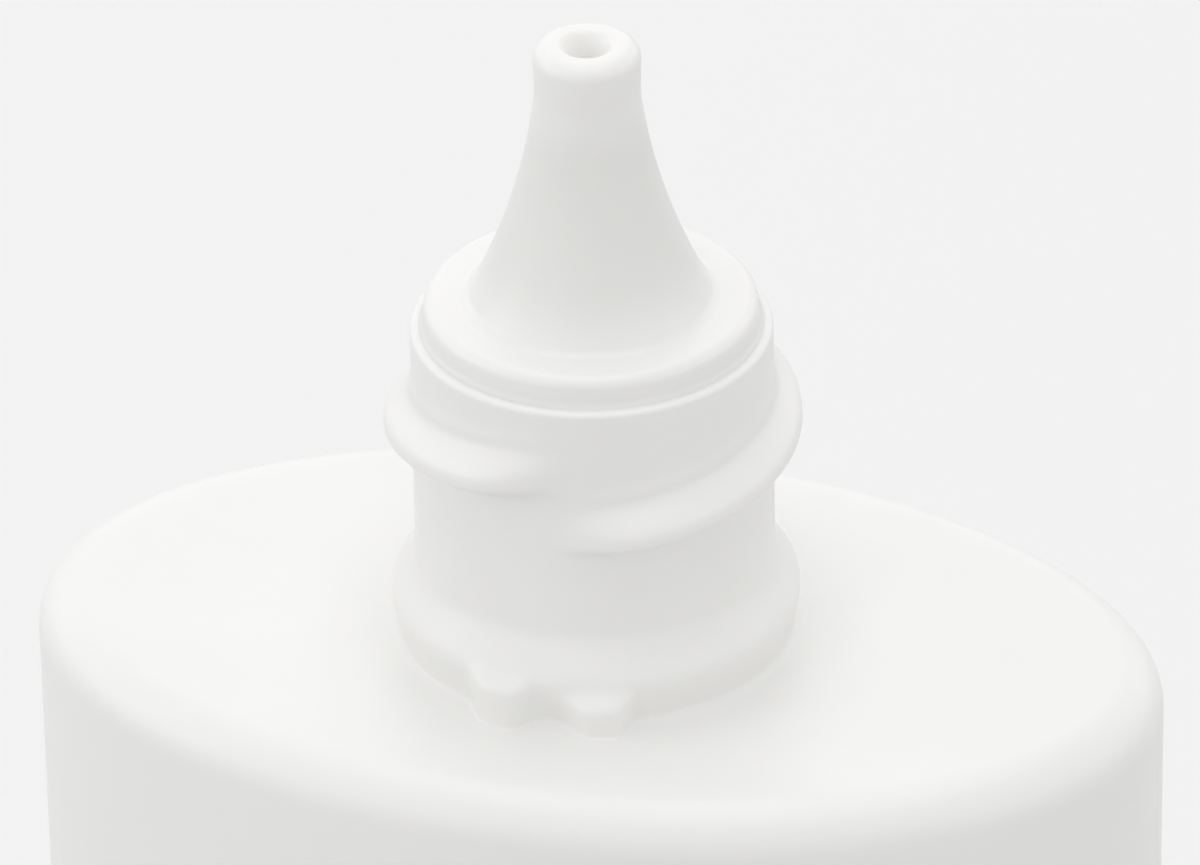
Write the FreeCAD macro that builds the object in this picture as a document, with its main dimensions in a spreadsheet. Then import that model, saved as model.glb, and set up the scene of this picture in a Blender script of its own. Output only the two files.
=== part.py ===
"""Oval squeeze bottle for lens solution: the bottle, the dropper nozzle in its neck and its screw cap.

Frame: millimetres, +Z up, origin at the middle of the base, X along the long axis of the oval, front at -Y.
"""

import FreeCAD, Part
import math
import os

import Sketcher

SIZES = {
    # bottle body
    "body_length": 66.7,
    "body_width": 41.0,
    "body_height": 135.0,
    "shoulder_round": 2.8,
    "heel_round": 3.5,
    "standing_ring": 3.0,
    "push_up": 2.6,
    "bottle_wall": 1.1,
    # neck
    "neck_diameter": 20.8,
    "neck_bore": 17.6,
    "neck_height": 20.1,
    "rim_round": 0.25,
    "bead_reach": 1.45,
    "bead_drop": 14.8,
    "bead_flare": 2.2,
    "bead_taper": 0.45,
    "neck_root_round": 0.8,
    # neck thread: each start is half a turn and fades into the wall at both ends
    "thread_diameter": 24.0,
    "thread_lead": 8.0,
    "thread_starts": 2,
    "thread_turn": 188.0,
    "thread_fade": 24.0,
    "thread_base": 2.7,
    "thread_crest": 1.1,
    "thread_drop": 3.95,
    # stop teeth under the bead
    "tooth_groups": 2,
    "tooth_reach": 1.25,
    "tooth_span": 25.0,
    "tooth_land": 7.0,
    "tooth_back": 4.0,
    "tooth_pitch": 26.5,
    "tooth_angle": -5.0,
    "tooth_height": 2.3,
    # dropper nozzle
    "nozzle_height": 18.1,
    "tip_diameter": 6.2,
    "tip_length": 3.15,
    "tip_round": 0.85,
    "tip_draft": 0.08,
    "flare_foot": 13.1,
    "flare_radius": 38.0,
    "flare_fillet": 1.0,
    "flange_diameter": 19.2,
    "flange_height": 1.8,
    "flange_round": 0.7,
    "orifice_diameter": 0.9,
    "dish_diameter": 3.0,
    "dish_depth": 0.9,
    "dish_round": 0.35,
    "nozzle_wall": 1.2,
    "orifice_length": 1.6,
    "plug_length": 8.4,
    "plug_wall": 1.1,
    "plug_clearance": 0.06,
    "plug_lead_in": 0.6,
    "seal_squeeze": 0.1,
    "seal_height": 1.2,
    "seal_pitch": 2.6,
    # screw cap
    "cap_clearance": 0.35,
    "cap_wall": 1.35,
    "cap_top": 1.6,
    "cap_round": 1.6,
    "cap_inner_round": 1.0,
    "cap_edge": 0.3,
    "cap_lift_off": 0.6,
    "cap_headroom": 0.3,
    "cap_thread_base": 2.2,
    "cap_thread_crest": 0.8,
    "spud_clearance": 0.25,
    "rib_count": 48,
    "rib_depth": 0.45,
    "rib_width": 0.9,
    "rib_end": 3.2,
    "rib_start": 1.2,
    "cap_gap": 16.0,
}

# how deep a raised form starts inside the wall that carries it
OVERLAP = 0.4
# sections along one thread ridge, and its reach at the very ends, just under the wall
STATIONS = 24
END_REACH = -0.06
# share of the reach where the rounded crest begins
CREST_ROOT = 0.8
# the front of the bottle, -Y, as an angle from +X
FRONT = -90.0
# lengths closer than this count as equal
NEAR = 1e-4


class Size:
    """A number together with the sheet expression that gives it."""

    def __init__(self, value, text):
        self.value = value
        self.text = text

    def joined(self, other, sign, value):
        return Size(value, f"({self.text} {sign} {as_size(other).text})")

    def __add__(self, other):
        return self.joined(other, "+", self.value + as_size(other).value)

    def __sub__(self, other):
        return self.joined(other, "-", self.value - as_size(other).value)

    def __mul__(self, other):
        return self.joined(other, "*", self.value * as_size(other).value)

    def __truediv__(self, other):
        return self.joined(other, "/", self.value / as_size(other).value)


def as_size(number):
    return number if isinstance(number, Size) else Size(float(number), repr(float(number)))


def turned(radius, degrees):
    """The point at a radius, turned by degrees from the front (-Y) towards +X, as two sizes."""
    turn = math.radians(degrees.value)
    text = f"({degrees.text} * 1 deg)"
    return (Size(radius.value * math.sin(turn), f"({radius.text} * sin{text})"),
            Size(-radius.value * math.cos(turn), f"(-1 * {radius.text} * cos{text})"))


def make_sheet(doc):
    """Write the sizes to a sheet with one alias per cell, and return them by name."""
    sheet = doc.addObject("Spreadsheet::Sheet", "dims")
    named = {}
    for row, (alias, value) in enumerate(SIZES.items(), start=1):
        sheet.set(f"A{row}", alias)
        sheet.set(f"B{row}", str(value))
        sheet.setAlias(f"B{row}", alias)
        named[alias] = Size(float(value), f"dims.{alias}")
    doc.recompute()
    return named


def origin_plane(body, role):
    return next(f for f in body.Origin.OriginFeatures if f.Role == role)


def new_sketch(body, name, role, height=None):
    """A sketch on one of the body's own origin planes, raised along its normal by height."""
    sketch = body.newObject("Sketcher::SketchObject", name)
    sketch.AttachmentSupport = [(origin_plane(body, role), "")]
    sketch.MapMode = "FlatFace"
    if height is not None:
        sketch.setExpression(".AttachmentOffset.Base.z", height.text)
    return sketch


def bind(sketch, constraint, size):
    index = sketch.addConstraint(constraint)
    sketch.setExpression(f"Constraints[{index}]", size.text)


def pin_point(sketch, edge, end, x, y):
    """Hold one end of an edge at x, y from the sketch's origin."""
    for axis, size in (("DistanceX", x), ("DistanceY", y)):
        size = as_size(size)
        bind(sketch, Sketcher.Constraint(axis, -1, 1, edge, end, size.value), size)


def arc_between(start, end, radius, left):
    """The short arc from start to end whose centre lies to the left or right of that line."""
    chord = end - start
    side = FreeCAD.Vector(-chord.y, chord.x, 0).normalize() * (1 if left else -1)
    centre = (start + end) * 0.5 + side * math.sqrt(max(radius**2 - chord.Length**2 / 4, 0.0))
    return Part.Arc(start, centre - side * radius, end)


def draw_outline(sketch, corners):
    """Draw a closed outline through corners, each (x, y) or (x, y, radius, side).

    With a radius the edge that leaves the corner is an arc whose centre lies on that side of it.
    """
    corners = [(as_size(c[0]), as_size(c[1]), *c[2:]) for c in corners]
    points = [FreeCAD.Vector(c[0].value, c[1].value, 0) for c in corners]
    starts = []
    for i, corner in enumerate(corners):
        start, end = points[i], points[(i + 1) % len(points)]
        if len(corner) == 2:
            edge = sketch.addGeometry(Part.LineSegment(start, end))
            starts.append((edge, 1, 2))
            continue
        arc = arc_between(start, end, corner[2].value, corner[3] == "left")
        edge = sketch.addGeometry(arc)
        from_start = sketch.getPoint(edge, 1).distanceToPoint(start) < NEAR
        starts.append((edge, 1, 2) if from_start else (edge, 2, 1))
    for i, (edge, first, last) in enumerate(starts):
        following = starts[(i + 1) % len(starts)]
        sketch.addConstraint(Sketcher.Constraint("Coincident", edge, last, following[0], following[1]))
    for (edge, first, last), corner in zip(starts, corners):
        pin_point(sketch, edge, first, corner[0], corner[1])
        if len(corner) > 2:
            bind(sketch, Sketcher.Constraint("Radius", edge, corner[2].value), corner[2])


def draw_oval(sketch, length, width):
    """Draw an ellipse of that length along X and width along Y."""
    ends = FreeCAD.Vector(length.value / 2, 0, 0), FreeCAD.Vector(0, width.value / 2, 0)
    oval = sketch.addGeometry(Part.Ellipse(ends[0], ends[1], FreeCAD.Vector(0, 0, 0)))
    sketch.exposeInternalGeometry(oval)
    long_axis, short_axis = oval + 1, oval + 2
    sketch.addConstraint(Sketcher.Constraint("Coincident", oval, 3, -1, 1))
    sketch.addConstraint(Sketcher.Constraint("Horizontal", long_axis))
    bind(sketch, Sketcher.Constraint("Distance", long_axis, length.value), length)
    bind(sketch, Sketcher.Constraint("Distance", short_axis, width.value), width)


def draw_circle(sketch, diameter):
    centre, normal = FreeCAD.Vector(0, 0, 0), FreeCAD.Vector(0, 0, 1)
    circle = sketch.addGeometry(Part.Circle(centre, normal, diameter.value / 2))
    sketch.addConstraint(Sketcher.Constraint("Coincident", circle, 3, -1, 1))
    bind(sketch, Sketcher.Constraint("Diameter", circle, diameter.value), diameter)


def pad(body, sketch, length):
    feature = body.newObject("PartDesign::Pad", f"{sketch.Name}_pad")
    feature.Profile = sketch
    feature.setExpression("Length", length.text)
    body.Document.recompute()
    return feature


def revolve(body, sketch):
    feature = body.newObject("PartDesign::Revolution", f"{sketch.Name}_turned")
    feature.Profile = sketch
    feature.ReferenceAxis = (sketch, ["V_Axis"])
    feature.Angle = 360
    body.Document.recompute()
    return feature


def fillet(body, name, base, edges, radius):
    feature = body.newObject("PartDesign::Fillet", name)
    feature.Base = (base, edges)
    feature.setExpression("Radius", radius.text)
    body.Document.recompute()
    return feature


def level_edges(feature, height):
    """Names of the edges of a feature that lie level at a height."""
    names = []
    for number, edge in enumerate(feature.Shape.Edges, start=1):
        box = edge.BoundBox
        if abs(box.ZMin - height) < NEAR and abs(box.ZMax - height) < NEAR:
            names.append(f"Edge{number}")
    return names


def polar_pattern(body, name, feature, count):
    pattern = body.newObject("PartDesign::PolarPattern", name)
    pattern.Originals = [feature]
    axis = next(f for f in body.Origin.OriginFeatures if f.Role == "Z_Axis")
    pattern.Axis = (axis, [""])
    pattern.Angle = 360
    pattern.setExpression("Occurrences", count.text)
    body.Tip = pattern
    body.Document.recompute()
    return pattern


def dome(body, name, kind, length, width, height):
    """Cut an ellipsoid centred on the origin from a body, or add it."""
    feature = body.newObject(kind, name)
    feature.Angle1 = -90
    feature.Angle2 = 90
    feature.setExpression("Radius1", height.text)
    feature.setExpression("Radius2", (length / 2).text)
    feature.setExpression("Radius3", (width / 2).text)
    body.Document.recompute()
    return feature


def smooth_step(share):
    share = min(max(share, 0.0), 1.0)
    return share * share * (3 - 2 * share)


def thread_ridge(wall, crest, base_width, crest_width, low_end, first_angle, sizes):
    """One start of a thread as a loft along its helix, fading into the wall at both ends.

    wall and crest are radii: the crest lies outside the wall on a neck and inside it in a cap.
    """
    turn, lead = sizes["thread_turn"].value, sizes["thread_lead"].value
    outward = 1 if crest > wall else -1
    root = wall - outward * OVERLAP
    sections = []
    for station in range(STATIONS + 1):
        angle = turn * station / STATIONS
        to_end = min(angle, turn - angle)
        share = smooth_step(to_end / sizes["thread_fade"].value)
        reach = (crest - wall) * (END_REACH + (1 - END_REACH) * share)
        middle = low_end + lead * angle / 360
        corners = [
            FreeCAD.Vector(root, 0, middle - base_width / 2),
            FreeCAD.Vector(wall + reach * CREST_ROOT, 0, middle - crest_width / 2),
            FreeCAD.Vector(wall + reach, 0, middle),
            FreeCAD.Vector(wall + reach * CREST_ROOT, 0, middle + crest_width / 2),
            FreeCAD.Vector(root, 0, middle + base_width / 2),
        ]
        wire = Part.Wire([
            Part.makeLine(corners[0], corners[1]),
            Part.Arc(*corners[1:4]).toShape(),
            Part.makeLine(corners[3], corners[4]),
            Part.makeLine(corners[4], corners[0]),
        ])
        wire.rotate(FreeCAD.Vector(0, 0, 0), FreeCAD.Vector(0, 0, 1), first_angle + angle)
        sections.append(wire)
    return Part.makeLoft(sections, True)


def make_thread(doc, name, wall, crest, base_width, crest_width, rim, sizes):
    """All starts of a thread whose upper ends lie thread_drop below the rim's height."""
    rise = sizes["thread_lead"] * sizes["thread_turn"] / 360
    low_end = rim - sizes["thread_drop"] - rise
    starts = int(sizes["thread_starts"].value)
    ridges = []
    for start in range(starts):
        ridge = doc.addObject("Part::Feature", f"{name}_{start + 1}")
        ridge.Shape = thread_ridge(wall.value, crest.value, base_width.value, crest_width.value,
                                   low_end.value, FRONT + 360 * start / starts, sizes)
        ridges.append(ridge)
    return ridges


def make_bottle(doc, sizes):
    """The blow moulded bottle: the outside, its thread ridges, and the hollow cut from them."""
    length, width, height = sizes["body_length"], sizes["body_width"], sizes["body_height"]
    wall, heel = sizes["bottle_wall"], sizes["heel_round"]
    rim = height + sizes["neck_height"]
    neck = sizes["neck_diameter"] / 2

    outside = doc.addObject("PartDesign::Body", "bottle_outside")
    oval = new_sketch(outside, "body_oval", "XY_Plane")
    draw_oval(oval, length, width)
    block = pad(outside, oval, height)
    top = fillet(outside, "shoulder_edge", block, level_edges(block, height.value), sizes["shoulder_round"])
    fillet(outside, "heel_edge", top, level_edges(top, 0), heel)
    foot = (heel + sizes["standing_ring"]) * 2
    dome(outside, "base_push_up", "PartDesign::SubtractiveEllipsoid",
         length - foot, width - foot, sizes["push_up"])

    profile = new_sketch(outside, "neck_profile", "XZ_Plane")
    reach, flare = sizes["bead_reach"], sizes["bead_flare"]
    bead = neck + reach
    bead_top = rim - sizes["bead_drop"]
    # the bead flares out in two equal arcs, first hollow and then rounded
    flare_round = (reach * reach + flare * flare) / (reach * 4)
    rim_round, root_round = sizes["rim_round"], sizes["neck_root_round"]
    foot_radius = bead - sizes["bead_taper"]
    draw_outline(profile, [
        (0, height - wall),
        (foot_radius + root_round, height - wall),
        (foot_radius + root_round, height, root_round, "right"),
        (foot_radius, height + root_round),
        (bead, bead_top - flare, flare_round, "left"),
        (neck + reach / 2, bead_top - flare / 2, flare_round, "right"),
        (neck, bead_top),
        (neck, rim - rim_round, rim_round, "left"),
        (neck - rim_round, rim),
        (0, rim),
    ])
    revolve(outside, profile)

    tooth = new_sketch(outside, "tooth_plan", "XY_Plane", height - wall)
    draw_teeth(tooth, foot_radius, sizes)
    teeth = pad(outside, tooth, sizes["tooth_height"] + wall)
    polar_pattern(outside, "teeth_both_sides", teeth, sizes["tooth_groups"])

    inside = doc.addObject("PartDesign::Body", "bottle_inside")
    hollow = new_sketch(inside, "hollow_oval", "XY_Plane", wall)
    draw_oval(hollow, length - wall * 2, width - wall * 2)
    space = pad(inside, hollow, height - wall * 2)
    ceiling = fillet(inside, "hollow_shoulder", space, level_edges(space, (height - wall).value),
                     sizes["shoulder_round"] - wall)
    fillet(inside, "hollow_heel", ceiling, level_edges(ceiling, wall.value), heel - wall)
    dome(inside, "hollow_push_up", "PartDesign::SubtractiveEllipsoid",
         length - foot + wall * 2, width - foot + wall * 2, sizes["push_up"] + wall)
    bore = new_sketch(inside, "neck_bore", "XY_Plane", height / 2)
    draw_circle(bore, sizes["neck_bore"])
    pad(inside, bore, height / 2 + sizes["neck_height"] + wall)

    ridges = make_thread(doc, "neck_thread", neck, sizes["thread_diameter"] / 2,
                         sizes["thread_base"], sizes["thread_crest"], rim, sizes)
    whole = doc.addObject("Part::MultiFuse", "bottle_solid")
    whole.Shapes = [outside] + ridges
    bottle = doc.addObject("Part::Cut", "bottle")
    bottle.Base = whole
    bottle.Tool = inside
    doc.recompute()
    return bottle


def draw_teeth(sketch, foot_radius, sizes):
    """Two stop teeth at the front: each ramps outward to a land and ends in a steep face."""
    inner = foot_radius - OVERLAP
    outer = foot_radius + sizes["tooth_reach"]
    first = sizes["tooth_angle"]
    for steep in (first, first + sizes["tooth_pitch"]):
        land_end = steep - sizes["tooth_back"]
        draw_outline(sketch, [
            turned(inner, steep - sizes["tooth_span"]),
            turned(outer, land_end - sizes["tooth_land"]),
            turned(outer, land_end),
            turned(inner, steep),
        ])


def make_nozzle(doc, sizes):
    """The dropper nozzle, turned in one profile, with the underside of its flange on the neck's rim."""
    body = doc.addObject("PartDesign::Body", "dropper_nozzle")
    rim = sizes["body_height"] + sizes["neck_height"]
    body.setExpression(".Placement.Base.z", rim.text)
    profile = new_sketch(body, "nozzle_profile", "XZ_Plane")

    plug = sizes["neck_bore"] / 2 - sizes["plug_clearance"]
    flange, flange_top = sizes["flange_diameter"] / 2, sizes["flange_height"]
    tip, top = sizes["tip_diameter"] / 2, sizes["nozzle_height"]
    foot, fillet_radius = sizes["flare_foot"] / 2, sizes["flare_fillet"]
    flare, edge, lip = sizes["flare_radius"], sizes["flange_round"], sizes["tip_round"]
    wall, hole = sizes["nozzle_wall"], sizes["orifice_diameter"] / 2
    dish, dish_edge = sizes["dish_diameter"] / 2, sizes["dish_round"]
    bottom = sizes["plug_length"] * -1
    collar = top - sizes["tip_length"]
    dish_floor = top - sizes["dish_depth"]
    hole_end = dish_floor - sizes["orifice_length"]

    seal_rise = sizes["plug_clearance"] + sizes["seal_squeeze"]
    half_seal = sizes["seal_height"] / 2
    seal_radius = (half_seal * half_seal + seal_rise * seal_rise) / (seal_rise * 2)
    seals = []
    for number in (2, 1):
        middle = sizes["seal_pitch"] * -number
        seals += [(plug, middle - half_seal, seal_radius, "left"), (plug, middle + half_seal)]

    draw_outline(profile, [
        (plug - sizes["plug_wall"], bottom),
        (plug - sizes["plug_lead_in"], bottom),
        (plug, bottom + sizes["plug_lead_in"]),
        *seals,
        (plug, 0),
        (flange, 0),
        (flange, flange_top - edge, edge, "left"),
        (flange - edge, flange_top),
        (foot + fillet_radius, flange_top, fillet_radius, "right"),
        (foot, flange_top + fillet_radius, flare, "right"),
        (tip - sizes["tip_draft"], collar),
        (tip, top - lip, lip, "left"),
        (tip - lip, top),
        (dish + dish_edge, top, dish_edge, "left"),
        (dish, top - dish_edge),
        (hole, dish_floor),
        (hole, hole_end),
        (tip - wall, hole_end - (tip - wall - hole), flare, "left"),
        (foot - wall, flange_top),
        (plug - sizes["plug_wall"], 0),
    ])
    revolve(body, profile)
    return body


def make_cap(doc, sizes):
    """The screw cap, standing on its open end beside the bottle."""
    bore = sizes["thread_diameter"] / 2 + sizes["cap_clearance"]
    outer = bore + sizes["cap_wall"]
    skirt = sizes["bead_drop"] - sizes["cap_lift_off"]
    ceiling = skirt + sizes["nozzle_height"] + sizes["cap_headroom"]
    top = ceiling + sizes["cap_top"]
    edge, corner, inner_corner = sizes["cap_edge"], sizes["cap_round"], sizes["cap_inner_round"]
    spud = sizes["cap_headroom"] + sizes["dish_depth"] - sizes["spud_clearance"]

    shell = doc.addObject("PartDesign::Body", "cap_shell")
    profile = new_sketch(shell, "cap_profile", "XZ_Plane")
    draw_outline(profile, [
        (bore, 0),
        (outer - edge, 0, edge, "left"),
        (outer, edge),
        (outer, top - corner, corner, "left"),
        (outer - corner, top),
        (0, top),
        (0, ceiling - spud),
        (sizes["orifice_diameter"] / 2, ceiling - spud),
        (sizes["dish_diameter"] / 2, ceiling),
        (bore - inner_corner, ceiling, inner_corner, "right"),
        (bore, ceiling - inner_corner),
    ])
    revolve(shell, profile)

    rib_plan = new_sketch(shell, "rib_plan", "XY_Plane", sizes["rib_start"])
    width, rib_tip = sizes["rib_width"], outer + sizes["rib_depth"]
    draw_outline(rib_plan, [
        (outer - OVERLAP, width / -2),
        (rib_tip, width / -4),
        (rib_tip, width / 4),
        (outer - OVERLAP, width / 2),
    ])
    rib = pad(shell, rib_plan, top - sizes["rib_end"] - sizes["rib_start"])
    polar_pattern(shell, "ribs", rib, sizes["rib_count"])

    half_pitch = sizes["thread_lead"] / sizes["thread_starts"] / 2
    ridges = make_thread(doc, "cap_thread", bore, sizes["neck_diameter"] / 2 + sizes["cap_clearance"],
                         sizes["cap_thread_base"], sizes["cap_thread_crest"], skirt - half_pitch, sizes)
    cap = doc.addObject("Part::MultiFuse", "screw_cap")
    cap.Shapes = [shell] + ridges
    cap.setExpression(".Placement.Base.x", (sizes["body_length"] / 2 + sizes["cap_gap"] + rib_tip).text)
    doc.recompute()
    return cap


def main():
    doc = FreeCAD.newDocument("lens_solution_bottle")
    sizes = make_sheet(doc)
    pieces = [make_bottle(doc, sizes), make_nozzle(doc, sizes), make_cap(doc, sizes)]
    doc.recompute()
    faults = [o.Name for o in doc.Objects if "Invalid" in o.State or "Error" in o.State]
    if faults:
        raise RuntimeError(f"failed objects: {faults}")
    os.makedirs("parts", exist_ok=True)
    for piece in pieces:
        if piece.Shape.isNull() or not piece.Shape.isValid():
            raise RuntimeError(f"bad shape: {piece.Label}")
        piece.Shape.exportStep(f"parts/{piece.Label}.step")
        print(piece.Label, len(piece.Shape.Solids), "solid", round(piece.Shape.Volume, 1), "mm3")


main()
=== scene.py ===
"""Looks of an oval lens solution bottle, the dropper nozzle in its neck and its screw cap.

The forms are worked out in millimetres and set in the frame in metres: +Z up, the long axis of the
oval along X, the front at -Y. The outer sizes come from the frame's nodes.
"""

import math

import bmesh
import bpy
import numpy as np
from mathutils import Matrix, Vector


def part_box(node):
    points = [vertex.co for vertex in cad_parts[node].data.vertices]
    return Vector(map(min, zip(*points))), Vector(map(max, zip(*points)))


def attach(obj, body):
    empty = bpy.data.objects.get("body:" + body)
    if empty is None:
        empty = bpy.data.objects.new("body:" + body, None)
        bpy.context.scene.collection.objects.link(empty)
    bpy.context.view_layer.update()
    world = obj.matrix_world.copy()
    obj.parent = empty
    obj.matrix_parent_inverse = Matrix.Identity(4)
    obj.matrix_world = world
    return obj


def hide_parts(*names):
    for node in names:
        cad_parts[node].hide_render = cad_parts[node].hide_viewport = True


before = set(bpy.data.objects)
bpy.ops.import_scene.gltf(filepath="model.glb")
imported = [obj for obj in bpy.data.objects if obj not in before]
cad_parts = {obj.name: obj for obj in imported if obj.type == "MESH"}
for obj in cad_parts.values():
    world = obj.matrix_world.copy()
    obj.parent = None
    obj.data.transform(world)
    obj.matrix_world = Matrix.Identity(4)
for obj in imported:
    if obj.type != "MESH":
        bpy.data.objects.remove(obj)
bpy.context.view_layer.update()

MM = 0.001

# points around the bottle, the nozzle and each rib of the cap
BOTTLE_AROUND = 336
NOZZLE_AROUND = 160
POINTS_PER_RIB = 8
# degrees of turn from which an edge is shaded as a sharp one
SHARP_TURN = 50

# the bottle's body: edge rounds, the ring that it stands on, the hollow under the base, its wall
SHOULDER_ROUND = 2.8
HEEL_ROUND = 3.5
STANDING_RING = 3.0
PUSH_UP = 2.6
WALL = 1.1
# how closely the body's points gather at the two ends of the oval, where the parting line runs
END_GATHER = 0.36
SEAM_HEIGHT = 0.05
SEAM_WIDTH = 0.16
# steps of the mesh over the parts of the body
DOME_STEPS = 9
HEEL_STEPS = 9
SIDE_STEPS = 13
SHOULDER_STEPS = 14
APRON_STEPS = 8
INNER_EDGE_STEPS = 5
INNER_DOME_STEPS = 7

# the neck, with drops measured down from the rim
NECK_HEIGHT = 20.1
NECK_RADIUS = 10.4
NECK_BORE = 8.8
NECK_STEP = 0.125
RIM_ROUND = 0.3
RIM_STEPS = 5
BORE_RIM_STEPS = 3
BEAD_RADIUS = 11.85
BEAD_DROP = 14.6
BEAD_FLARE = 2.8
BEAD_FOOT = 11.4
NECK_ROOT_ROUND = 0.5
# where the shoulder's rings turn from the oval to circles round the neck
APRON_RADIUS = 15.5
# how far the moulded edges of the neck and of the cap's thread are softened
NECK_SOFTNESS = 0.25
# how far such softening reaches to each side, in softnesses
BLUR_REACH = 3

# the thread: two starts of about half a turn each, sloping above the crest and flat below it
THREAD_STARTS = 2
THREAD_LEAD = 8.0
THREAD_TURN = 188.0
THREAD_RISE = THREAD_LEAD * THREAD_TURN / 360
THREAD_FADE = 31.0
THREAD_DROP = 4.45
THREAD_REACH = 1.64
THREAD_CREST = 0.9
THREAD_UPPER_FLANK = 1.9
THREAD_LOWER_FLANK = 0.45
# a fine ridge that runs along above each thread
RIDGE_RISE = 2.6
RIDGE_REACH = 0.18
RIDGE_WIDTH = 0.35

# stop teeth under the bead, with angles measured from the front towards +X
TOOTH_STEEP_ENDS = (-3.0, 25.0)
TOOTH_HEIGHTS = (3.1, 2.4)
TOOTH_GROUPS = 2
TOOTH_SPAN = 22.0
TOOTH_LAND = 8.0
TOOTH_BACK = 4.0
TOOTH_RADIUS = 12.85
TOOTH_SOFT_TOP = 0.4
TOOTH_SOFTNESS = 0.15
# how much of the neck's root round is left at the foot of a tooth
TOOTH_ROOT_SHARE = 0.3

# the dropper nozzle, with heights measured up from the rim
FLANGE_RADIUS = 9.6
FLANGE_HEIGHT = 1.8
FLANGE_ROUND = 0.7
LIP_ROUND = 0.45
LIP_SINK = 0.03
FLARE_FOOT = 7.05
FLARE_RADIUS = 38.0
FLARE_FILLET = 0.8
FLARE_POINTS = 17
TIP_RADIUS = 3.1
TIP_DRAFT = 0.08
TIP_LENGTH = 3.15
TIP_ROUND = 0.85
COLLAR_ROUND = 5.0
DISH_RADIUS = 1.5
DISH_ROUND = 0.45
DISH_DEPTH = 1.5
ORIFICE_RADIUS = 0.45
ORIFICE_LENGTH = 1.6
ORIFICE_ROUND = 0.1
# its hollow: the wall, rounded corners, and how far below the throat the flared part ends
NOZZLE_WALL = 1.2
HOLLOW_ROUND = 0.3
THROAT_GAP = 1.5
# its plug in the neck's bore
PLUG_RADIUS = 8.74
PLUG_WALL = 1.1
PLUG_LENGTH = 8.4
PLUG_LEAD_IN = 0.6
PLUG_SIDE_ROUND = 0.3
PLUG_TIP_ROUND = 0.15
PLUG_INNER_ROUND = 0.2
# where the nozzle is hollow behind a thin wall, and the painted shade that darkens its colour there
# for the light lost through that wall
THIN_FROM = 3.5
THIN_TO = 13.5
THIN_FADE = 1.8
THIN_WALL_SHADE = (0.935, 0.935, 0.93)

# the screw cap: its bore, walls and edge rounds
CAP_BORE = 12.35
CAP_WALL = 1.35
CAP_TOP = 1.6
CAP_ROUND = 1.6
CAP_INNER_ROUND = 1.0
CAP_EDGE_ROUND = 0.3
# how far its open end comes below the neck's rim when the cap is on
CAP_SKIRT = 14.2
# the spud under its top, which closes the orifice
SPUD_DEPTH = 0.95
# its thread, and how far the fine rows of points reach below and above the thread's ends
CAP_THREAD_REACH = 1.6
CAP_THREAD_STEP = 0.16
CAP_ROWS_BELOW = 2.6
CAP_ROWS_ABOVE = 2.0
# its ribs, which start above the open end and stop below the top
RIB_COUNT = 48
RIB_DEPTH = 0.45
RIB_START = 1.2
RIB_END = 3.2
RIB_FADE = 0.9
# the parts of a wave round the cap that turn into the ribs' grooves and flanks
RIB_FOOT = 0.25
RIB_FLANK = 0.6
# the gate mark in the middle of its top
GATE_RADIUS = 1.6
GATE_DEPTH = 0.18
# steps of the mesh over the parts of the cap
GATE_STEPS = 8
CAP_TOP_STEPS = 6
CAP_ROUND_STEPS = 10
RIB_STEPS = 11
RIB_FADE_STEPS = 5
CAP_EDGE_STEPS = 4
CAP_INNER_STEPS = 5

# noise in the plastics, as scale per metre and detail
CLOUDS = (90, 3)
GLOSS_PATCHES = (450, 4)
LONG_WAVES = (60, 1)
FINE_GRAIN = (3200, 2)
# the middle part of the noise, which is spread over the whole range of a tint or a gloss
NOISE_RANGE = (0.3, 0.7)
# the darkest tint as a share of the colour, and how far the roughness varies to each side
CLOUD_TONE = 0.988
GLOSS_SPREAD = 0.05
PLASTIC_IOR = 1.5
# how far red, green and blue light goes under the skin, as shares of a length in millimetres
SCATTER_SHARES = (1.0, 0.9, 0.75)
SCATTER_LENGTH = 1.2

# the floor: its reach in metres, and its tone as it throws light back and as it is seen
FLOOR_RADIUS = 30
FLOOR_SIDES = 96
FLOOR_BOUNCE = 0.68
FLOOR_SEEN = 0.855
# the surround's tone as it gives light and as it is seen
SURROUND_LIT = 0.512
SURROUND_SEEN = 0.88

# soft lamps: degrees from the front towards +X, degrees above the horizon, edge in metres, watts
LAMPS = {
    "overhead": (0, 90, 1.2, 5.9),
    "front": (15, 55, 0.9, 1.3),
    "front_low": (15, 5, 0.9, 1.6),
    "left": (-75, 20, 0.9, 3.9),
    "back": (195, 55, 0.9, 1.54),
}
# low lamps that are all alike: where they stand, then what LAMPS gives after that angle
RING_AZIMUTHS = (60, 105, 150, 195, 240, 330)
RING_LAMP = (20, 0.9, 1.93)
# how far every lamp stands from the middle of the shoulder, in metres
LAMP_DISTANCE = 1.5

# the camera: degrees from the front towards +X and above the horizon, and its roll in radians
CAMERA_AZIMUTH = 15.0
CAMERA_ELEVATION = 31.28
CAMERA_ROLL = -0.01725
# its distance from a target, which lies a little to the right of the neck's axis and below the rim
CAMERA_DISTANCE = 629.8
CAMERA_ASIDE = 0.385
CAMERA_BELOW_RIM = 7.45
CAMERA_LENS = 329.0
# the nearest that it sees, in metres
CAMERA_NEAREST = 0.01

bottle_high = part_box("bottle")[1] / MM
nozzle_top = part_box("dropper_nozzle")[1].z / MM
cap_low, cap_high = (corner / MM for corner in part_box("screw_cap"))
RIM = bottle_high.z
SHOULDER = RIM - NECK_HEIGHT


def smooth_step(share):
    """A smooth rise from 0 to 1 as share goes from 0 to 1."""
    share = np.clip(share, 0.0, 1.0)
    return share * share * (3 - 2 * share)


def full_turn(count):
    """Angles of points spaced evenly all round."""
    return np.arange(count) * 2 * math.pi / count


def quarter(steps):
    """Angles over a quarter turn, both ends included."""
    return np.linspace(0, math.pi / 2, steps + 1)


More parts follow.
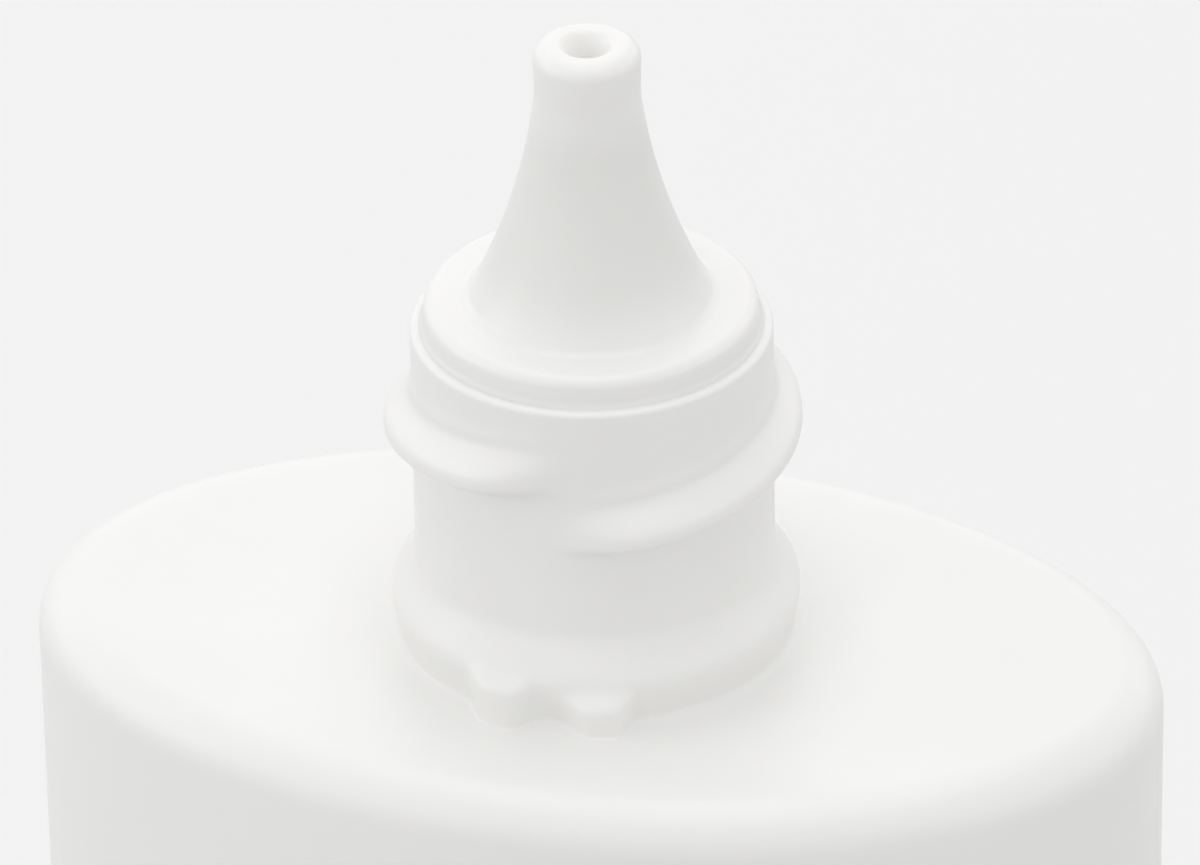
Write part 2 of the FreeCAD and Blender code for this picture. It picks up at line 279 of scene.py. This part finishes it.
def corner_arc(radius, height, size, across, along, steps):
    """Radius and height of points round a corner, from its upright side to its level face.

    across and along, each 1 or -1, are the way from the corner to the middle of its arc.
    """
    turn = quarter(steps)
    radii = radius + across * size * (1 - np.cos(turn))
    heights = height + along * size * (1 - np.sin(turn))
    return list(zip(radii, heights))


def skin(name, rings, closed=False):
    """A smooth mesh object over rings of points in millimetres.

    A closed skin joins its last ring to its first; an open one ends in a point at both ends.
    """
    rings = np.asarray(rings, float)
    count, around = rings.shape[:2]
    index = np.arange(count * around).reshape(count, around)
    here = index if closed else index[:-1]
    following = np.roll(index, -1, axis=0) if closed else index[1:]
    sides = [here, np.roll(here, -1, axis=1), np.roll(following, -1, axis=1), following]
    faces = np.stack(sides, axis=-1).reshape(-1, 4).tolist()
    points = rings.reshape(-1, 3)
    if not closed:
        ends = rings[[0, -1]].mean(axis=1)
        points = np.vstack([points, ends])
        for ring, pole in ((index[0], len(points) - 2), (index[-1], len(points) - 1)):
            faces += [[a, b, pole] for a, b in zip(ring.tolist(), np.roll(ring, -1).tolist())]
    mesh = bpy.data.meshes.new(name)
    mesh.from_pydata((points * MM).tolist(), [], faces)
    shaped = bmesh.new()
    shaped.from_mesh(mesh)
    bmesh.ops.recalc_face_normals(shaped, faces=shaped.faces)
    shaped.to_mesh(mesh)
    shaped.free()
    mesh.shade_smooth()
    mesh.set_sharp_from_angle(angle=math.radians(SHARP_TURN))
    piece = bpy.data.objects.new(name, mesh)
    bpy.context.scene.collection.objects.link(piece)
    return piece


def level_ring(across, along, height):
    """A ring of points at one height, or at a height per point."""
    return np.stack([across, along, np.broadcast_to(height, across.shape)], axis=-1)


def round_ring(angles, radius, height, centre=0.0):
    """A circle, or a ring with a radius per point, about an upright axis at centre on X."""
    return level_ring(centre + radius * np.cos(angles), radius * np.sin(angles), height)


def oval_ring(turn, inset, height):
    """The body's oval, drawn in by inset along its normal."""
    half_length, half_width = bottle_high.x, bottle_high.y
    across, along = half_length * np.cos(turn), half_width * np.sin(turn)
    normal = np.stack([across / half_length**2, along / half_width**2], axis=-1)
    normal /= np.linalg.norm(normal, axis=-1, keepdims=True)
    return level_ring(across - inset * normal[:, 0], along - inset * normal[:, 1], height)


def small_oval_ring(turn, margin, share, height):
    """An oval with its own half axes, margin shorter than the body's, times share."""
    return level_ring((bottle_high.x - margin) * share * np.cos(turn),
                      (bottle_high.y - margin) * share * np.sin(turn), height)


def soften(field, row_step, column_step, softness):
    """The field blurred by softness, held at its end rows and wrapped round its columns."""
    for axis, step, mode in ((0, row_step, "edge"), (1, column_step, "wrap")):
        reach = max(1, math.ceil(BLUR_REACH * softness / step))
        offsets = np.arange(-reach, reach + 1)
        weights = np.exp(-0.5 * (offsets * step / softness) ** 2)
        weights /= weights.sum()
        pads = [(reach, reach) if a == axis else (0, 0) for a in (0, 1)]
        wide = np.pad(field, pads, mode=mode)
        size = field.shape[axis]
        parts = [weight * np.take(wide, np.arange(first, first + size), axis=axis)
                 for first, weight in enumerate(weights)]
        field = np.sum(parts, axis=0)
    return field


def from_front(angles):
    """Angles in degrees, measured from the front towards +X."""
    return np.degrees(angles) + 90


def thread_field(angles, heights, low_end, profile):
    """How far a thread stands out at each angle and height: its starts, faded at both ends.

    profile gives the reach at a height above the middle of the thread's crest.
    """
    field = np.zeros((len(heights), len(angles)))
    for start in range(THREAD_STARTS):
        along = (from_front(angles) - 360 * start / THREAD_STARTS) % 360
        fade = smooth_step(np.minimum(along, THREAD_TURN - along) / THREAD_FADE)
        middle = low_end + THREAD_LEAD * along / 360
        off = heights[:, None] - middle[None, :]
        field = np.maximum(field, fade[None, :] * profile(off))
    return field


def thread_profile(off):
    """The share of a thread's full reach: a long slope above its crest and a short one below."""
    upper = 1 - smooth_step((off - THREAD_CREST / 2) / THREAD_UPPER_FLANK)
    return upper * (1 - smooth_step((-off - THREAD_CREST / 2) / THREAD_LOWER_FLANK))


def neck_thread_profile(off):
    """The neck's thread with the fine ridge above it."""
    ridge = RIDGE_REACH * np.exp(-(((off - RIDGE_RISE) / RIDGE_WIDTH) ** 2))
    return THREAD_REACH * thread_profile(off) + ridge


def cap_thread_profile(off):
    """The cap's thread is the neck's turned over, so that their flat sides meet."""
    return CAP_THREAD_REACH * thread_profile(-off)


def tooth_field(angles, heights):
    """How much of a stop tooth there is at each angle and height above the shoulder.

    Round the neck a tooth is a ramp, a land and a steep end. It is whole up to its soft top.
    """
    field = np.zeros((len(heights), len(angles)))
    for group in range(TOOTH_GROUPS):
        for steep, top in zip(TOOTH_STEEP_ENDS, TOOTH_HEIGHTS):
            before = steep - from_front(angles) + 360 * group / TOOTH_GROUPS
            before = (before + 180) % 360 - 180
            ramp = smooth_step((TOOTH_SPAN - before) / (TOOTH_SPAN - TOOTH_LAND - TOOTH_BACK))
            plan = ramp * smooth_step(before / TOOTH_BACK)
            whole = 1 - smooth_step((heights - top + TOOTH_SOFT_TOP) / TOOTH_SOFT_TOP)
            field = np.maximum(field, whole[:, None] * plan)
    return field


def bead_profile(drop):
    """The neck's radius without thread and teeth, at each height below the rim."""
    bead_side = BEAD_DROP + BEAD_FLARE
    flare = smooth_step((drop - BEAD_DROP) / BEAD_FLARE)
    taper = smooth_step((drop - bead_side) / (NECK_HEIGHT - bead_side))
    return NECK_RADIUS + (BEAD_RADIUS - NECK_RADIUS) * flare + (BEAD_FOOT - BEAD_RADIUS) * taper


def neck_rings(angles):
    """The neck from its root on the shoulder up to the start of its rounded rim."""
    count = round((NECK_HEIGHT - RIM_ROUND) / NECK_STEP)
    above = np.linspace(0.0, NECK_HEIGHT - RIM_ROUND, count + 1)
    column = 2 * math.pi * NECK_RADIUS / len(angles)
    low_end = NECK_HEIGHT - THREAD_DROP - THREAD_RISE
    thread = thread_field(angles, above, low_end, neck_thread_profile)
    teeth = soften(tooth_field(angles, above), NECK_STEP, column, TOOTH_SOFTNESS)
    plain = bead_profile(NECK_HEIGHT - above)[:, None]
    radius = plain + thread + (TOOTH_RADIUS - plain) * teeth
    radius = soften(radius, NECK_STEP, column, NECK_SOFTNESS)
    root_round = NECK_ROOT_ROUND * (1 - (1 - TOOTH_ROOT_SHARE) * teeth[0])
    root = np.clip(root_round - above[:, None], 0, root_round)
    radius += root_round - np.sqrt(root_round**2 - root**2)
    return [round_ring(angles, r, SHOULDER + z) for r, z in zip(radius, above)]


def add_seam(rings, turn):
    """Raise the faint line that the two mould halves leave down both ends of the oval."""
    for ring in rings:
        line = SEAM_HEIGHT * np.exp(-((ring[:, 1] / SEAM_WIDTH) ** 2))
        ring[:, 0] += line * np.sign(np.cos(turn))


def make_bottle():
    """The blow moulded bottle: the outside from its base to the rim, then the hollow back down."""
    angles = full_turn(BOTTLE_AROUND)
    turn = angles - END_GATHER * np.sin(2 * angles)
    margin = HEEL_ROUND + STANDING_RING
    ceiling = SHOULDER - WALL

    def edge(inset, height, size, along, steps):
        return [oval_ring(turn, i, z) for i, z in corner_arc(inset, height, size, 1, along, steps)]

    rings = [small_oval_ring(turn, margin, math.sin(a), PUSH_UP * math.cos(a))
             for a in quarter(DOME_STEPS)[1:]]
    rings += edge(0.0, 0.0, HEEL_ROUND, 1, HEEL_STEPS)[::-1]
    side_heights = np.linspace(HEEL_ROUND, SHOULDER - SHOULDER_ROUND, SIDE_STEPS + 1)
    side = [oval_ring(turn, 0.0, z) for z in side_heights[1:]]
    add_seam(side, turn)
    rings += side
    rings += edge(0.0, SHOULDER, SHOULDER_ROUND, -1, SHOULDER_STEPS)[1:]

    brink = rings[-1]
    apron = round_ring(angles, APRON_RADIUS, SHOULDER)
    neck = neck_rings(angles)
    shares = np.linspace(0, 1, APRON_STEPS + 1)
    rings += [brink + (apron - brink) * share for share in shares[1:]]
    rings += [apron + (neck[0] - apron) * share for share in shares[1:-1]]
    rings += neck
    rim = corner_arc(NECK_RADIUS, RIM, RIM_ROUND, -1, -1, RIM_STEPS)[1:]
    rim += corner_arc(NECK_BORE, RIM, RIM_ROUND, 1, -1, BORE_RIM_STEPS)[::-1]
    rings += [round_ring(angles, r, z) for r, z in [*rim, (NECK_BORE, ceiling)]]

    rings += edge(WALL, ceiling, SHOULDER_ROUND - WALL, -1, INNER_EDGE_STEPS)[::-1]
    rings += edge(WALL, WALL, HEEL_ROUND - WALL, 1, INNER_EDGE_STEPS)
    inner_rise = PUSH_UP + WALL
    foot_angle = math.acos(WALL / inner_rise)
    rings += [small_oval_ring(turn, margin - WALL, math.sin(a), inner_rise * math.cos(a))
              for a in np.linspace(foot_angle, 0, INNER_DOME_STEPS + 1)[:-1]]
    return skin("moulded_bottle", rings)


def arc_points(start, end, radius, count):
    """Points from start to end along an arc that bulges to the left of that way."""
    start, end = np.array(start), np.array(end)
    chord = end - start
    length = np.linalg.norm(chord)
    aside = np.array([-chord[1], chord[0]]) / length
    centre = (start + end) / 2 - aside * math.sqrt(radius**2 - length**2 / 4)
    first = math.atan2(*(start - centre)[::-1])
    sweep = -2 * math.asin(length / 2 / radius)
    return [centre + radius * np.array([math.cos(first + sweep * s), math.sin(first + sweep * s)])
            for s in np.linspace(0, 1, count)]


def rounded(corners, points_per_round=7):
    """Points along a closed outline, each corner (radius, height, round) drawn as an arc."""
    spots = [np.array(corner[:2], float) for corner in corners]
    points = []
    for i, (spot, corner) in enumerate(zip(spots, corners)):
        if corner[2] == 0:
            points.append(spot)
            continue
        back, ahead = spots[i - 1] - spot, spots[(i + 1) % len(spots)] - spot
        back_way, ahead_way = back / np.linalg.norm(back), ahead / np.linalg.norm(ahead)
        half = math.acos(np.clip(back_way @ ahead_way, -1, 1)) / 2
        middle = back_way + ahead_way
        centre = spot + middle / np.linalg.norm(middle) * corner[2] / math.sin(half)
        first = spot + back_way * corner[2] / math.tan(half) - centre
        last = spot + ahead_way * corner[2] / math.tan(half) - centre
        for share in np.linspace(0, 1, points_per_round):
            way = first * (1 - share) + last * share
            points.append(centre + way / np.linalg.norm(way) * corner[2])
    return points


def make_nozzle():
    """The dropper nozzle, turned from one closed outline: its outside going up, then its hollow."""
    top = nozzle_top - RIM
    dish_floor = top - DISH_DEPTH
    hole_end = dish_floor - ORIFICE_LENGTH
    throat = TIP_RADIUS - NOZZLE_WALL
    throat_height = hole_end - (throat - ORIFICE_RADIUS)
    plug_inside = PLUG_RADIUS - PLUG_WALL
    flare_top = (TIP_RADIUS - TIP_DRAFT, top - TIP_LENGTH)
    flare = arc_points((FLARE_FOOT, FLANGE_HEIGHT), flare_top, FLARE_RADIUS, FLARE_POINTS)
    # the fillet and the collar's round take the place of the points at the flare's ends
    outer_flare = flare[2:-2]
    inner_flare = [p - (NOZZLE_WALL, 0) for p in flare[1:] if p[1] < throat_height - THROAT_GAP]
    corners = [
        (plug_inside, -PLUG_LENGTH, PLUG_INNER_ROUND),
        (PLUG_RADIUS - PLUG_LEAD_IN, -PLUG_LENGTH, PLUG_TIP_ROUND),
        (PLUG_RADIUS, PLUG_LEAD_IN - PLUG_LENGTH, PLUG_SIDE_ROUND),
        (PLUG_RADIUS, 0.0, 0),
        (FLANGE_RADIUS + LIP_ROUND, -LIP_SINK, 0),
        (FLANGE_RADIUS, -LIP_SINK, LIP_ROUND),
        (FLANGE_RADIUS, FLANGE_HEIGHT, FLANGE_ROUND),
        (FLARE_FOOT, FLANGE_HEIGHT, FLARE_FILLET),
        *[(*point, 0) for point in outer_flare],
        (*flare_top, COLLAR_ROUND),
        (TIP_RADIUS, top, TIP_ROUND),
        (DISH_RADIUS, top, DISH_ROUND),
        (ORIFICE_RADIUS, dish_floor, ORIFICE_ROUND),
        (ORIFICE_RADIUS, hole_end, ORIFICE_ROUND),
        (throat, throat_height, HOLLOW_ROUND),
        *[(*point, 0) for point in inner_flare[::-1]],
        (plug_inside, 0.0, HOLLOW_ROUND),
    ]
    angles = full_turn(NOZZLE_AROUND)
    rings = [round_ring(angles, radius, RIM + height) for radius, height in rounded(corners)]
    return skin("moulded_nozzle", rings, closed=True)


def make_cap():
    """The screw cap, standing on its open end: the ribbed outside from the top, then the inside."""
    angles = full_turn(RIB_COUNT * POINTS_PER_RIB)
    centre = (cap_low.x + cap_high.x) / 2
    outer = CAP_BORE + CAP_WALL
    top = cap_high.z
    ceiling = top - CAP_TOP

    def turned(profile):
        return [round_ring(angles, radius, height, centre) for radius, height in profile]

    gate = [(GATE_RADIUS * share, top - GATE_DEPTH * (1 - smooth_step(2 * share - 1)))
            for share in np.linspace(0, 1, GATE_STEPS + 1)[1:]]
    level = [(r, top) for r in np.linspace(GATE_RADIUS, outer - CAP_ROUND, CAP_TOP_STEPS + 1)[1:]]
    top_edge = corner_arc(outer, top, CAP_ROUND, -1, -1, CAP_ROUND_STEPS)[::-1]
    rings = turned([*gate, *level, *top_edge[1:]])

    wave = 0.5 + 0.5 * np.cos(RIB_COUNT * angles)
    crest = smooth_step((wave - RIB_FOOT) / RIB_FLANK)
    rib_top = top - RIB_END
    fading = np.linspace(0, RIB_FADE, RIB_FADE_STEPS + 1)
    plain = np.linspace(rib_top - RIB_FADE, RIB_START + RIB_FADE, RIB_STEPS + 1)[1:-1]
    for height in [*(rib_top - fading), *plain, *(RIB_START + fading[::-1])]:
        fade = smooth_step(min(rib_top - height, height - RIB_START) / RIB_FADE)
        rings += turned([(outer + RIB_DEPTH * crest * fade, height)])
    rings += turned(corner_arc(outer, 0.0, CAP_EDGE_ROUND, -1, 1, CAP_EDGE_STEPS))
    rings += turned(corner_arc(CAP_BORE, 0.0, CAP_EDGE_ROUND, 1, 1, CAP_EDGE_STEPS)[::-1])

    low_end = CAP_SKIRT - THREAD_LEAD / THREAD_STARTS / 2 - THREAD_DROP - THREAD_RISE
    high_end = low_end + THREAD_RISE
    heights = np.arange(low_end - CAP_ROWS_BELOW, high_end + CAP_ROWS_ABOVE, CAP_THREAD_STEP)
    column = 2 * math.pi * CAP_BORE / len(angles)
    thread = thread_field(angles, heights, low_end, cap_thread_profile)
    thread = soften(thread, CAP_THREAD_STEP, column, NECK_SOFTNESS)
    rings += turned(zip(CAP_BORE - thread, heights))
    rings += turned(corner_arc(CAP_BORE, ceiling, CAP_INNER_ROUND, -1, -1, CAP_INNER_STEPS))
    rings += turned([(DISH_RADIUS, ceiling), (ORIFICE_RADIUS, ceiling - SPUD_DEPTH)])
    return skin("moulded_cap", rings)


def add_node(tree, kind, settings, **modes):
    """A shader node with its modes and inputs set.

    A setting is a value for the input that it names, or another node's output that is linked to it.
    """
    node = tree.nodes.new(kind)
    for mode, value in modes.items():
        setattr(node, mode, value)
    for socket, value in settings.items():
        if isinstance(value, bpy.types.NodeSocket):
            tree.links.new(value, node.inputs[socket])
        else:
            node.inputs[socket].default_value = value
    return node


def add_range(tree, value, span, low, high, **modes):
    """The value with span stretched or squeezed to run from low to high."""
    settings = {
        "Value": value,
        "From Min": span[0],
        "From Max": span[1],
        "To Min": low,
        "To Max": high,
    }
    return add_node(tree, "ShaderNodeMapRange", settings, **modes).outputs["Result"]


def add_maths(tree, operation, first, second):
    """The number that an operation makes of two."""
    settings = {0: first, 1: second}
    return add_node(tree, "ShaderNodeMath", settings, operation=operation).outputs[0]


def add_blend(tree, share, first, second, **modes):
    """The first colour, with a share of the second blended into it."""
    settings = {"Factor": share, "A": first, "B": second}
    return add_node(tree, "ShaderNodeMix", settings, data_type="RGBA", **modes).outputs["Result"]


def paint_thin_wall_shade(tree, place, paint):
    """The paint with painted shade where the nozzle's wall is thin, standing in for the light that
    it loses to the hollow behind it.
    """
    height = add_node(tree, "ShaderNodeSeparateXYZ", {0: place}).outputs["Z"]
    ramps = []
    for middle, low, high in ((RIM + THIN_FROM, 0, 1), (RIM + THIN_TO, 1, 0)):
        span = ((middle - THIN_FADE) * MM, (middle + THIN_FADE) * MM)
        ramps.append(add_range(tree, height, span, low, high, interpolation_type="SMOOTHSTEP"))
    share = add_maths(tree, "MULTIPLY", *ramps)
    # painted shade: the colour is darkened over the thin-walled band between the two heights
    return add_blend(tree, share, paint, (*THIN_WALL_SHADE, 1), blend_type="MULTIPLY")


def plastic(name, colour, roughness, grain, wave, scatter, thin_shade=False):
    """Moulded plastic: a faint cloudy tint, uneven gloss, fine grain and long shallow waves.

    grain and wave are heights in millimetres, scatter the share of light that goes under the skin;
    the last argument adds painted shade where the nozzle's wall is thin.
    """
    material = bpy.data.materials.new(name)
    material.use_nodes = True
    tree = material.node_tree
    shader = tree.nodes["Principled BSDF"]
    place = tree.nodes.new("ShaderNodeTexCoord").outputs["Object"]

    def noise(scale, detail):
        settings = {"Vector": place, "Scale": scale, "Detail": detail}
        return add_node(tree, "ShaderNodeTexNoise", settings).outputs["Fac"]

    def bump(pattern, height, **below):
        settings = {"Height": noise(*pattern), "Strength": 1.0, "Distance": height * MM, **below}
        return add_node(tree, "ShaderNodeBump", settings).outputs["Normal"]

    clouds = add_range(tree, noise(*CLOUDS), NOISE_RANGE, 0, 1)
    paint = add_blend(tree, clouds, (*[part * CLOUD_TONE for part in colour], 1), (*colour, 1))
    # painted shade on the thin-walled part of the nozzle
    if thin_shade:
        paint = paint_thin_wall_shade(tree, place, paint)
    gloss = add_range(tree, noise(*GLOSS_PATCHES), NOISE_RANGE,
                      roughness - GLOSS_SPREAD, roughness + GLOSS_SPREAD)
    waves = bump(LONG_WAVES, wave)
    tree.links.new(paint, shader.inputs["Base Color"])
    tree.links.new(gloss, shader.inputs["Roughness"])
    tree.links.new(bump(FINE_GRAIN, grain, Normal=waves), shader.inputs["Normal"])
    shader.inputs["IOR"].default_value = PLASTIC_IOR
    shader.inputs["Subsurface Weight"].default_value = scatter
    shader.inputs["Subsurface Radius"].default_value = SCATTER_SHARES
    shader.inputs["Subsurface Scale"].default_value = SCATTER_LENGTH * MM
    return material


def dress(piece, material, body, node):
    """Give a piece its material and the body that it rides on, and hide the node that it stands
    for.
    """
    piece.data.materials.append(material)
    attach(piece, body)
    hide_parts(node)


def seen_share(tree):
    """1 for a ray from the camera, a reflection or glass, and 0 for one that only brings light."""
    path = tree.nodes.new("ShaderNodeLightPath").outputs
    share = path["Is Camera Ray"]
    for way in ("Is Glossy Ray", "Is Transmission Ray"):
        share = add_maths(tree, "MAXIMUM", share, path[way])
    return share


def grey(tone):
    """An even grey as a colour with full alpha."""
    return (tone, tone, tone, 1)


def make_stage():
    """A wide pale floor, which throws back light with one tone and is seen with another."""
    bpy.ops.mesh.primitive_circle_add(vertices=FLOOR_SIDES, radius=FLOOR_RADIUS, fill_type="TRIFAN")
    floor = bpy.context.object
    floor.name = "floor"
    material = bpy.data.materials.new("floor_paint")
    material.use_nodes = True
    tree = material.node_tree
    tree.nodes.remove(tree.nodes["Principled BSDF"])
    lit, seen = (add_node(tree, "ShaderNodeBsdfDiffuse", {"Color": grey(tone)}).outputs[0]
                 for tone in (FLOOR_BOUNCE, FLOOR_SEEN))
    mix = add_node(tree, "ShaderNodeMixShader", {"Fac": seen_share(tree), 1: lit, 2: seen})
    tree.links.new(mix.outputs[0], tree.nodes["Material Output"].inputs["Surface"])
    floor.data.materials.append(material)


def make_world():
    """An even grey surround, which gives light with one tone and is seen with another."""
    world = bpy.data.worlds.new("surround")
    bpy.context.scene.world = world
    world.use_nodes = True
    tree = world.node_tree
    light = tree.nodes["Background"]
    light.inputs["Color"].default_value = grey(SURROUND_LIT)
    view = add_node(tree, "ShaderNodeBackground", {"Color": grey(SURROUND_SEEN)})
    mix = add_node(tree, "ShaderNodeMixShader",
                   {"Fac": seen_share(tree), 1: light.outputs[0], 2: view.outputs[0]})
    tree.links.new(mix.outputs[0], tree.nodes["World Output"].inputs["Surface"])


def direction(azimuth, elevation):
    """The way that points from the front towards +X by azimuth and up by elevation, in degrees."""
    a, e = math.radians(azimuth), math.radians(elevation)
    return Vector((math.sin(a) * math.cos(e), -math.cos(a) * math.cos(e), math.sin(e)))


def add_softbox(name, azimuth, elevation, edge, power):
    """A square soft lamp aimed at the middle of the shoulder."""
    lamp = bpy.data.lights.new(name, "AREA")
    lamp.shape = "SQUARE"
    lamp.size = edge
    lamp.energy = power
    away = direction(azimuth, elevation)
    holder = bpy.data.objects.new(name, lamp)
    holder.location = Vector((0, 0, SHOULDER * MM)) + away * LAMP_DISTANCE
    holder.rotation_euler = (-away).to_track_quat("-Z", "Y").to_euler()
    bpy.context.scene.collection.objects.link(holder)


def make_lights():
    """All the soft lamps: the named ones and the low ring."""
    for name, settings in LAMPS.items():
        add_softbox(name, *settings)
    for azimuth in RING_AZIMUTHS:
        add_softbox(f"low_{azimuth}", azimuth, *RING_LAMP)


def make_camera():
    """The camera at the photograph's view, rolled a little about its own axis."""
    ahead = -direction(CAMERA_AZIMUTH, CAMERA_ELEVATION)
    turn = math.radians(CAMERA_AZIMUTH)
    level = Vector((math.cos(turn), math.sin(turn), 0))
    upright = level.cross(ahead)
    right = level * math.cos(CAMERA_ROLL) + upright * math.sin(CAMERA_ROLL)
    up = upright * math.cos(CAMERA_ROLL) - level * math.sin(CAMERA_ROLL)
    target = level * CAMERA_ASIDE + Vector((0, 0, RIM - CAMERA_BELOW_RIM))
    place = Matrix((right, up, -ahead)).transposed().to_4x4()
    place.translation = (target - ahead * CAMERA_DISTANCE) * MM
    camera = bpy.data.cameras.new("camera")
    camera.lens = CAMERA_LENS
    camera.clip_start = CAMERA_NEAREST
    holder = bpy.data.objects.new("camera", camera)
    holder.matrix_world = place
    bpy.context.scene.collection.objects.link(holder)
    bpy.context.scene.camera = holder


bottle_plastic = plastic("bottle_polyethylene", colour=(0.86, 0.856, 0.842), roughness=0.42,
                         grain=0.004, wave=0.04, scatter=0.12)
# the nozzle's colour carries painted shade where its wall is thin
nozzle_plastic = plastic("nozzle_polyethylene", colour=(0.855, 0.851, 0.837), roughness=0.38,
                         grain=0.004, wave=0.03, scatter=0.2, thin_shade=True)
cap_plastic = plastic("cap_polypropylene", colour=(0.88, 0.878, 0.868), roughness=0.36,
                      grain=0.005, wave=0.02, scatter=0.12)
dress(make_bottle(), bottle_plastic, "bottle", "bottle")
dress(make_nozzle(), nozzle_plastic, "bottle", "dropper_nozzle")
dress(make_cap(), cap_plastic, "cap", "screw_cap")

make_stage()
make_world()
make_lights()
make_camera()
bpy.context.scene.view_settings.view_transform = "Standard"
